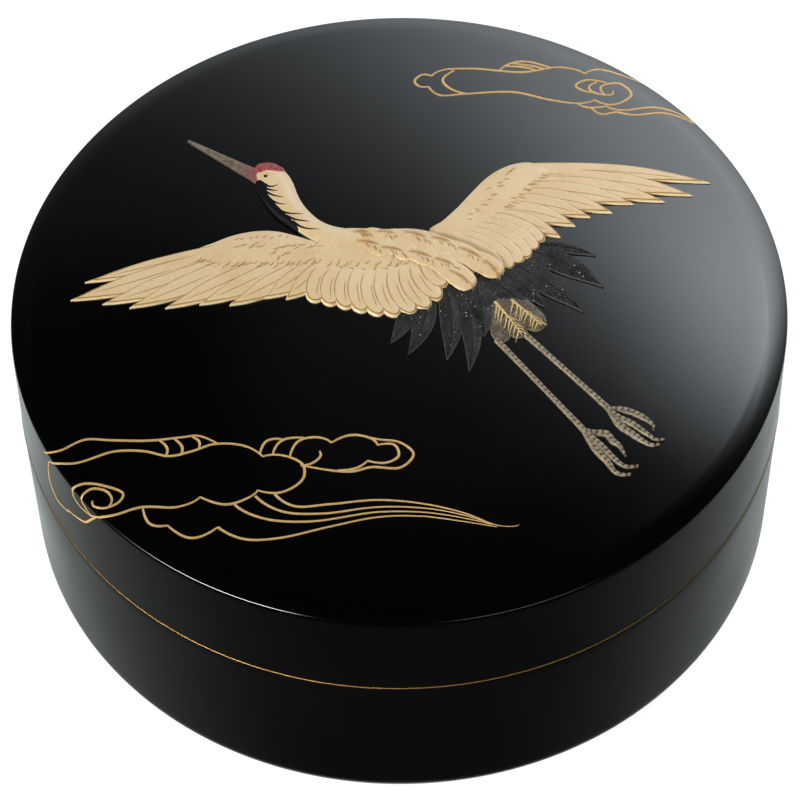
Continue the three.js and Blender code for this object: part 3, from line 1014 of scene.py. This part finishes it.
LOWER_CLOUD = (
    (
        (-36.9, -17.9), (-34.3, -18.4), (-31.8, -17.3), (-29.1, -17.5), (-25.3, -17.7), (-21.8, -17.4),
        (-20.4, -17.3), (-18.5, -18.3),
    ),
    (
        (-36.8, -19), (-34.1, -19.9), (-32.5, -20.1), (-28.8, -18.9), (-25.8, -19), (-23.3, -19.7),
        (-21, -19.2), (-18.8, -18.4), (-15.8, -18.7), (-13.9, -20.1),
    ),
    ((-24.3, -17.7), (-23.5, -18.7), (-23.6, -19.6)),
    ((-22.8, -17.6), (-22, -18.6), (-22.1, -19.6)),
    ((-21, -17.4), (-20.3, -18), (-20.3, -18.8)),
    ((-13.9, -20.1), (-12, -20), (-9.9, -21.2), (-9.9, -23), (-12, -24.5), (-14.4, -24.2)),
    ((-14.4, -24.2), (-15.2, -25), (-17.5, -25.8), (-20.1, -24.8)),
    ((-20.1, -24.8), (-22.2, -25.9), (-25.9, -25.8), (-28.6, -26.5), (-32.3, -26.1)),
    ((-25.8, -26), (-25, -27.9), (-23.3, -28.1)),
    ((-23.3, -28.1), (-20.9, -29.7), (-18.3, -28.5)),
    ((-14.2, -19.8), (-13.5, -18.2), (-12, -18)),
    ((-12.9, -19.9), (-12, -18.2), (-9.8, -17.9)),
    ((-11.2, -20.3), (-10.3, -18.3), (-8.3, -17.9), (-7, -18.6)),
    ((-7, -18.6), (-5, -17.7), (-3, -18.2), (-2.4, -19)),
    ((-2.4, -19), (-0.7, -19), (-0.3, -20.4), (-1.6, -21.2), (-3.4, -20.9)),
    ((-3.4, -20.9), (-4.6, -21.8), (-6.4, -22)),
    (
        (-3.8, -17.8), (-2.3, -18.3), (-0.2, -18.7), (1.2, -20.2), (-0.1, -21.8), (-3, -21.7),
        (-5.1, -22.2), (-9.7, -21.4),
    ),
    ((-10.1, -21.3), (-9, -21.1), (-8.1, -20.2), (-8.2, -19.6)),
    ((-37, -19), (-39.6, -19.7), (-41, -20.7), (-41.2, -22.4), (-39.8, -23.9), (-38.8, -24.6)),
    ((-38.7, -24.3), (-37.2, -25.5), (-35.2, -26.5), (-33, -26.5), (-30.7, -26.3)),
)
# Long lines that run out together to a point
TRAILING_LINES = (
    (
        (-12.8, -24.5), (-10.8, -26.2), (-7.3, -26.1), (-2.4, -25.7), (2.3, -26.3), (6.3, -27.5),
        (9.2, -28.9), (10.8, -29.1), (11.5, -28.9),
    ),
    (
        (-14.6, -24.9), (-12, -26.8), (-8.1, -27.2), (-2.4, -26.55), (2.3, -26.8), (5.8, -27.6),
        (8.7, -28.8),
    ),
    (
        (-16.7, -25.8), (-13.8, -27.6), (-9.1, -28.1), (-2.4, -27.15), (2.3, -27.3), (6.3, -28.1),
        (8.8, -28.9),
    ),
    (
        (-18.3, -28.5), (-15.7, -30), (-12.3, -30), (-7.3, -28.8), (-2.4, -27.75), (1.9, -27.75),
        (5.8, -28.4), (9.3, -29.15),
    ),
)
UPPER_CLOUD = (
    ((4, 30.5), (2.9, 30.7), (2.1, 29.8), (2.6, 29), (3.6, 28.95)),
    ((4, 30.5), (5, 31.3), (8.4, 31.5), (13.6, 30.9), (17.8, 31.6), (20.4, 30.6)),
    ((20.4, 30.6), (21.8, 31.3), (25.2, 30.3), (26.6, 29.6)),
    ((3.6, 28.95), (4.7, 27.7), (7.4, 27.8), (12.6, 28), (16.6, 26.8), (19.6, 26.3), (21.2, 26.8)),
    ((6.4, 31.3), (5.1, 29.9), (5.9, 28.6), (7.6, 27.85)),
    ((11.2, 31.2), (12.4, 32.2), (14, 32.5), (16.8, 31.5)),
    ((11.9, 31.8), (14, 31.6), (15.2, 31.1)),
    ((12.6, 32.2), (14.4, 31.9), (16, 31.4)),
    ((22.6, 29.3), (20.5, 29.7), (19.3, 28.9), (20.2, 28.1), (21.4, 27.9)),
    ((21.6, 29.4), (20.7, 28.7), (21, 28), (22.4, 27.5)),
    ((19.4, 26.3), (20.5, 25.7), (22.5, 25.9)),
    ((22.5, 25.9), (24, 25.3), (27.4, 25.7), (29.8, 25.2), (31.7, 24)),
    ((20.8, 25.7), (21.9, 24.7), (23.4, 25), (25.2, 24.6), (28.4, 24.9), (30.4, 24.4), (31.8, 23.7)),
)
# A scroll's start and the turns it winds in
SCROLLS = (
    (
        (21.2, 26.8), (23.2, 26.1), (25.2, 27.5), (24, 29.2), (22, 28.7), (22.3, 27.6), (23.2, 27.6),
        (23.25, 28.1),
    ),
    (
        (-32.3, -26.1), (-33.9, -24.7), (-34, -23.4), (-32.1, -22.6), (-29.9, -23), (-27.8, -24.1),
        (-28.2, -25.1), (-29.6, -25.6), (-30.9, -25.1), (-30.9, -24.6),
    ),
    ((-32.2, -26.1), (-32.4, -24.4), (-31.1, -23.3), (-29.4, -23.8), (-28.9, -24.8), (-29.2, -25.5)),
)


def drawn_line(s):
    return 0.8 + 0.3 * np.sin(np.pi * s)


def trailing_line(s):
    return 1.05 - 0.75 * s**1.5


def clouds(name, strokes, trailing=()):
    form = Form()

    def height(plan, across, edge):
        return GOLD_HEIGHT * round_back(across, 0.35)

    for share, group in ((drawn_line, strokes), (trailing_line, trailing)):
        for points in group:
            path = spline(*points, spacing=0.25)
            strip(
                form, path, GOLD_WIDTH, share, height, stations=max(10, round(length(path) / 0.2)),
                columns=np.linspace(-1, 1, 5), crowd=1.0, depth=0.15,
            )
    return form.make(name, gold)


# Materials. Colours that follow the drawing read it from the forms' own attributes

CREAM = srgb(244, 210, 160)
CREAM_WARM = srgb(238, 199, 146)
# Painted highlight: the pale colour laid along raised edges, as if they caught the light
RIM_PAINTED_HIGHLIGHT = srgb(252, 226, 184)
RIM_GOLD = srgb(236, 192, 116)
LINE_BROWN = srgb(146, 98, 36)
INK_BROWN = srgb(148, 92, 4)
INK_ORANGE = srgb(178, 112, 14)
LINE_INSET = 0.13
BARB_SPACING = 0.36
BARB_SLANT = 1.3
FLECKS_PER_METRE = 2300.0
DOME_EDGE_LOW, DOME_EDGE_HIGH = 31.3, 31.6


def ivory_nodes(graph):
    place = graph.place()
    share, across, seed = graph.feather()
    edge, ink, tone, lined = (graph.attribute(name) for name in ("edge", "ink", "tone", "lined"))
    mottle = graph.noise(place, 260, 3)
    fine = graph.noise(place, 2600, 2)
    waver = (graph.noise(place, 900, 2) - 0.5) * 0.08
    tip = graph.smooth(share, 0.6, 0.86)
    # The line runs a little way in from the rim at the tip, and on the rim itself above it
    reach = edge + waver + (1.0 - tip) * LINE_INSET
    outline = graph.band(reach, 0.13, 0.22, 0.04) * graph.smooth(share, 0.06, 0.25)
    shaft = graph.band(across + (seed * 0.3 - 0.15), -0.04, 0.04, 0.03) * graph.band(share, 0.36, 0.8, 0.08)
    lines = graph.most(outline * 0.95, shaft * 0.9) * lined
    golden = graph.smooth(edge, 0.1, 0.34, 0.5, 0.0) * (tip * lined)
    # Painted highlight: a pale rim along each form's outer edge, at the tips of lined feathers and all round
    # the other forms, standing in for light caught by the raised edge
    rim = graph.smooth(edge, 0.02, 0.09, 0.6, 0.0) * (1.0 - (1.0 - tip) * lined)
    colour = graph.mix(graph.smooth(mottle, 0.3, 0.75), CREAM, CREAM_WARM)
    colour = graph.mix(golden, colour, RIM_GOLD)
    colour = graph.mix(lines, colour, LINE_BROWN)
    colour = graph.mix(rim, colour, RIM_PAINTED_HIGHLIGHT)
    colour = graph.mix(ink, colour, graph.mix(tone, INK_BROWN, INK_ORANGE))
    return dict(
        Base_Color=colour, Roughness=graph.smooth(fine, 0.2, 0.8, 0.22, 0.3), Specular_IOR_Level=0.42,
        Normal=graph.bump(fine, 0.12, 0.00003),
    )


def charcoal_nodes(graph):
    place = graph.place()
    across = graph.feather()[1]
    edge, run = graph.attribute("edge"), graph.attribute("ink")
    grain = graph.noise(place, 5200, 3, 0.7)
    cloudy = graph.noise(place, 700, 3)
    turn = graph.math("FRACT", (run - abs(across) * BARB_SLANT) / BARB_SPACING + cloudy * 2.0)
    barb = graph.smooth(abs(turn - 0.5), 0.1, 0.4)
    cells = graph.node("TexVoronoi", Vector=place, Scale=FLECKS_PER_METRE)
    chance, girth = graph.outputs(graph.node("SeparateColor", Color=Value(graph, cells.outputs["Color"])))[:2]
    chosen = graph.smooth(chance, 0.74, 0.75)
    size = graph.smooth(girth, 0.0, 1.0, 0.14, 0.28)
    fleck = chosen * graph.smooth(Value(graph, cells.outputs["Distance"]), 0.08, size, 0.9, 0.0)
    colour = graph.mix(graph.smooth(cloudy, 0.35, 0.7), srgb(8, 8, 8), srgb(20, 19, 18))
    for share, over in (
        (barb * graph.smooth(cloudy, 0.3, 0.6, 0.2, 0.6), srgb(84, 84, 82)),
        (graph.smooth(grain, 0.56, 0.72, 0.0, 0.8), srgb(132, 126, 116)),
        (graph.band(across, -0.05, 0.05, 0.03) * 0.9, srgb(8, 8, 9)),
        (fleck, srgb(238, 216, 176)),
        (graph.smooth(edge, 0.02, 0.1, 0.5, 0.0), srgb(112, 106, 96)),
    ):
        colour = graph.mix(share, colour, over)
    return dict(
        Base_Color=colour, Roughness=0.5, Specular_IOR_Level=0.16,
        Normal=graph.bump(grain + barb, 0.9, 0.00008),
    )


def veined_nodes(graph):
    place = graph.place()
    grain = graph.noise(place, 3800, 3, 0.7)
    patch = graph.noise(place, 900, 3)
    base = graph.mix(graph.smooth(grain, 0.35, 0.65), srgb(48, 40, 32), srgb(120, 102, 78))
    base = graph.mix(graph.smooth(patch, 0.56, 0.64, 0.0, 0.6), base, srgb(138, 120, 98))
    base = graph.mix(graph.smooth(graph.attribute("edge"), 0.03, 0.12, 0.6, 0.0), base, srgb(150, 136, 112))
    drawn = graph.mix(graph.smooth(grain, 0.3, 0.7), srgb(206, 164, 92), srgb(246, 218, 156))
    return dict(
        Base_Color=graph.mix(graph.attribute("ink"), base, drawn), Roughness=0.55, Specular_IOR_Level=0.35,
        Normal=graph.bump(grain, 0.5, 0.00008),
    )


def scaled_nodes(graph):
    grain = graph.noise(graph.place(), 3200, 3, 0.65)
    base = graph.mix(graph.smooth(grain, 0.3, 0.7), srgb(112, 94, 72), srgb(176, 154, 120))
    ring = abs(graph.math("FRACT", graph.attribute("ink")) - 0.5)
    dark = graph.smooth(ring, 0.1, 0.19, 1.0, 0.0) * graph.smooth(graph.feather()[1], -0.2, -0.08)
    return dict(
        Base_Color=graph.mix(dark, base, srgb(26, 20, 16)), Roughness=0.5,
        Normal=graph.bump(grain, 0.4, 0.00005),
    )


def throat_nodes(graph):
    grain = graph.noise(graph.place(), 2400, 2)
    return dict(
        Base_Color=graph.mix(grain, srgb(10, 10, 11), srgb(22, 21, 22)),
        Roughness=graph.smooth(grain, 0.2, 0.8, 0.5, 0.6), Specular_IOR_Level=0.15,
    )


def crown_nodes(graph):
    grain = graph.noise(graph.place(), 4200, 2, 0.7)
    return dict(
        Base_Color=graph.mix(graph.smooth(grain, 0.38, 0.66), srgb(120, 24, 30), srgb(206, 92, 84)),
        Roughness=0.55, Normal=graph.bump(grain, 0.7, 0.00012),
    )


def horn_nodes(graph):
    grain = graph.noise(graph.place(), 2200, 3)
    colour = graph.mix(graph.smooth(graph.feather()[0], 0.08, 0.36), srgb(150, 74, 62), srgb(132, 110, 82))
    colour = graph.mix(graph.smooth(grain, 0.4, 0.75), colour, srgb(86, 66, 56))
    edge = graph.smooth(graph.attribute("edge"), 0.03, 0.1, 0.75, 0.0)
    return dict(Base_Color=graph.mix(edge, colour, srgb(58, 40, 34)), Roughness=0.42)


def gold_nodes(graph):
    grain = graph.noise(graph.place(), 3600, 2, 0.7)
    return dict(
        Base_Color=graph.mix(grain, srgb(190, 138, 66), srgb(244, 202, 132)), Metallic=0.25, Roughness=0.45,
        Normal=graph.bump(grain, 0.3, 0.00003),
    )


def lacquer_nodes(graph):
    """Glossy on top and duller on the walls."""
    place = graph.place()
    grain = graph.noise(place, 1500, 3, 0.6)
    haze = graph.noise(place, 60, 3)
    walls = graph.smooth(graph.split(place)[2] / MM, DOME_EDGE_LOW, DOME_EDGE_HIGH, 1.0, 0.0)
    matt = graph.smooth(haze, 0.3, 0.7, 0.3, 0.36) + grain * 0.04
    gloss = graph.smooth(haze, 0.3, 0.7, 0.065, 0.085)
    return dict(
        Base_Color=graph.mix(haze, (0.0006, 0.0004, 0.0003, 1), (0.0012, 0.0008, 0.0006, 1)),
        Roughness=walls * matt + (1.0 - walls) * gloss, Normal=graph.bump(grain, 0.05, 0.00002),
    )


def mouth_nodes(graph):
    grain = graph.noise(graph.place(), 900, 3, 0.7)
    colour = graph.mix(grain, srgb(150, 106, 48), srgb(206, 158, 88))
    return dict(Base_Color=colour, Metallic=0.85, Roughness=0.52)


# Painted shade: a dull, barely reflecting black on the body's upper edge, standing in for the shadow in the
# gap under the lid
def edge_nodes(graph):
    grain = graph.noise(graph.place(), 900, 3, 0.7)
    dark, pale = (0.001, 0.0008, 0.0006, 1), (0.003, 0.002, 0.0015, 1)
    return dict(Base_Color=graph.mix(grain, dark, pale), Roughness=0.9, Specular_IOR_Level=0.1)


ivory = material("crane_ivory", ivory_nodes)
charcoal = material("dark_feather", charcoal_nodes)
veined = material("veined_feather", veined_nodes)
scaled = material("banded_leg", scaled_nodes)
throat_black = material("throat_black", throat_nodes)
crown_red = material("crown_red", crown_nodes)
horn = material("beak_horn", horn_nodes)
gold = material("gold_line", gold_nodes)
lacquer = material("black_lacquer", lacquer_nodes)
mouth_gold = material("mouth_gold", mouth_nodes)
gap_shade_black = material("body_edge_painted_shade", edge_nodes)


# The box, the lid and what is raised on the lid

def at_the_mouth(r, z):
    """1 on the outer edges where the lid meets the box, and 0 elsewhere."""
    over_ledge = z - SEAM_HEIGHT + SEAM_GAP / 2
    return int(r > SEAM_RADIUS - 2 * BEAD and -BODY_EDGE < over_ledge < SEAM_GAP + 1.9 * BEAD)


def build_box():
    made = turned("box_body", box_profile(), [lacquer, gap_shade_black], at_the_mouth)
    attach(made, "root")
    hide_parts("box")


def build_lid():
    profile = [*lid_inside()[::-1], *lid_outside()[::-1]]
    lid_piece(turned("lid_shell", profile, [lacquer, mouth_gold], at_the_mouth))


build_box()
build_lid()
dark_feathers()
thighs()
legs()
left_wing()
right_wing()
body()
head()
clouds("cloud_lower", [*LOWER_CLOUD, *SCROLLS[1:]], TRAILING_LINES)
clouds("cloud_upper", [*UPPER_CLOUD, SCROLLS[0]])


# The studio. Light comes as seen in the lacquer: a soft panel behind, to the right

FLOOR_SIZE = 3.0
FLOOR_LIFT = 0.02
FLOOR_GLOW = 0.9
FLOOR_GREY = (0.3, 0.3, 0.3, 1)
WALL_STRENGTH = 1.02
WALL_FLOOR = 0.02
KEY_STRENGTH = 60.0
KEY_RISE = 17.0
BESIDE_STRENGTH = 0.676
LEAST_LIGHT = 0.012
FILL_PLACE = (0.16, 0.05, 0.2)
FILL_SIZE = 0.06
FILL_POWER = 0.1
COOL_BELOW = (0.93, 1.03, 1.0, 1)
COOL_ABOVE = (0.92, 1.0, 1.06, 1)
WHITE = (1, 1, 1, 1)


def floor_nodes(graph):
    return dict(
        Base_Color=FLOOR_GREY, Roughness=0.9, Emission_Color=WHITE, Emission_Strength=FLOOR_GLOW,
    )


def floor():
    """The floor lies a hair above the box's underside, so that the two never share a plane."""
    half = FLOOR_SIZE / 2
    corners = [(x * half, y * half, FLOOR_LIFT * MM) for x, y in ((-1, -1), (1, -1), (1, 1), (-1, 1))]
    mesh = bpy.data.meshes.new("floor")
    mesh.from_pydata(corners, [], [(0, 1, 2, 3)])
    mesh.materials.append(material("floor_pale", floor_nodes))
    made = added("floor", mesh)
    made.visible_glossy = False


def world():
    """Light by direction, with a broad panel behind to the right, a low strip in front, and a glow below.

    turn is in degrees to the right of straight ahead, +Y, and angle in degrees above the horizon. The
    numbers say where each side of a light lies, how it slants and how soft it is, all in degrees.
    """
    made = bpy.data.worlds.new("studio")
    bpy.context.scene.world = made
    made.use_nodes = True
    graph = Graph(made.node_tree)
    x, y, z = graph.split(graph.coordinates("Generated"))

    def clamped(value, low, high):
        return graph.least(graph.most(value, low), high)

    def past(value, start):
        return graph.most(value - start, 0.0)

    def step(value, middle, width):
        """0 well below the middle, 1 well above it."""
        power = graph.least((middle - value) / width, 40.0)
        return 1.0 / (graph.math("EXPONENT", power) + 1.0)

    def between(value, low, high, soft_low, soft_high):
        return step(value, low, soft_low) * step(-value, -high, soft_high)

    turn = graph.math("DEGREES", graph.math("ARCTAN2", x, y))
    angle = graph.math("DEGREES", graph.math("ARCSINE", z))

    panel = clamped(angle * 0.099 + 0.742, 0.8, 6.85)
    panel *= step(turn, past(angle, 42.9) * 0.94 + 3.14, clamped(angle * -0.206 + 12.5, 1.9, 9.0))
    panel *= between(angle, 48.5, 52.5, 0.6, 0.6) * 0.27 + 1.0
    panel *= step(-turn, past(angle, 35.0) * 0.24 - 46.7, 5.3)
    panel *= step(-angle, past(turn, 14.0) * 0.163 - 54.2, past(turn, 14.0) * 0.068 + 0.725)

    beside = graph.smooth(angle, 47.0, 52.0, 1.0, graph.smooth(turn, -9.0, -3.0)) * BESIDE_STRENGTH
    beside *= graph.math("EXPONENT", clamped(turn, -200.0, 0.0) / 16.5)
    beside *= clamped((58.7 - angle) / 46.0, 0.0, 1.0) * step(-turn, -60.0, 10.0)

    key = between(turn, -153.0, -119.0, 1.2, 4.0) + between(turn, 139.0, 167.0, 3.0, 2.0) * 0.07
    key *= between(angle, KEY_RISE - 3, KEY_RISE + 3, 0.6, 0.6) * KEY_STRENGTH
    above = panel + beside + key + LEAST_LIGHT

    reach = graph.most(graph.math("SQRT", x * x + y * y), 0.001)
    behind = y / reach * 0.5 + 0.5
    left = graph.smooth(x / reach, -0.55, -0.05, 0.95, 0.45)
    below = graph.math("POWER", behind, 2.8) * WALL_STRENGTH + WALL_FLOOR
    below += graph.smooth(behind, 0.85, 1.0) * left

    is_above = graph.smooth(z, -0.35, -0.2)
    direct = Value(graph, graph.node("LightPath").outputs["Is Camera Ray"])
    strength = (above * is_above + below * (1.0 - is_above)) * (1.0 - direct) + direct
    colour = graph.mix(direct, graph.mix(is_above, COOL_BELOW, COOL_ABOVE), WHITE)
    shade = graph.node("Background", Color=colour, Strength=strength)
    graph.node("OutputWorld", Surface=graph.outputs(shade)[0])


def fill_light():
    data = bpy.data.lights.new("fill", "AREA")
    data.size = FILL_SIZE
    data.energy = FILL_POWER
    made = added("fill", data)
    made.location = FILL_PLACE
    made.rotation_euler = (-Vector(FILL_PLACE)).to_track_quat("-Z", "Y").to_euler()
    made.visible_glossy = False


def camera():
    data = bpy.data.cameras.new("camera")
    data.lens = CAMERA_LENS
    data.sensor_width = SENSOR
    data.clip_start = 0.05
    made = added("camera", data)
    right = Vector((1, 0, 0))
    up = Vector((0, math.sin(CAMERA_PITCH), math.cos(CAMERA_PITCH)))
    back = right.cross(up)
    x_axis = math.cos(CAMERA_ROLL) * right - math.sin(CAMERA_ROLL) * up
    y_axis = math.sin(CAMERA_ROLL) * right + math.cos(CAMERA_ROLL) * up
    turned_to = Matrix((x_axis, y_axis, back)).transposed().to_4x4()
    made.matrix_world = Matrix.Translation(CAMERA_PLACE) @ turned_to
    bpy.context.scene.camera = made


floor()
world()
fill_light()
camera()
bpy.context.scene.view_settings.view_transform = "Standard"
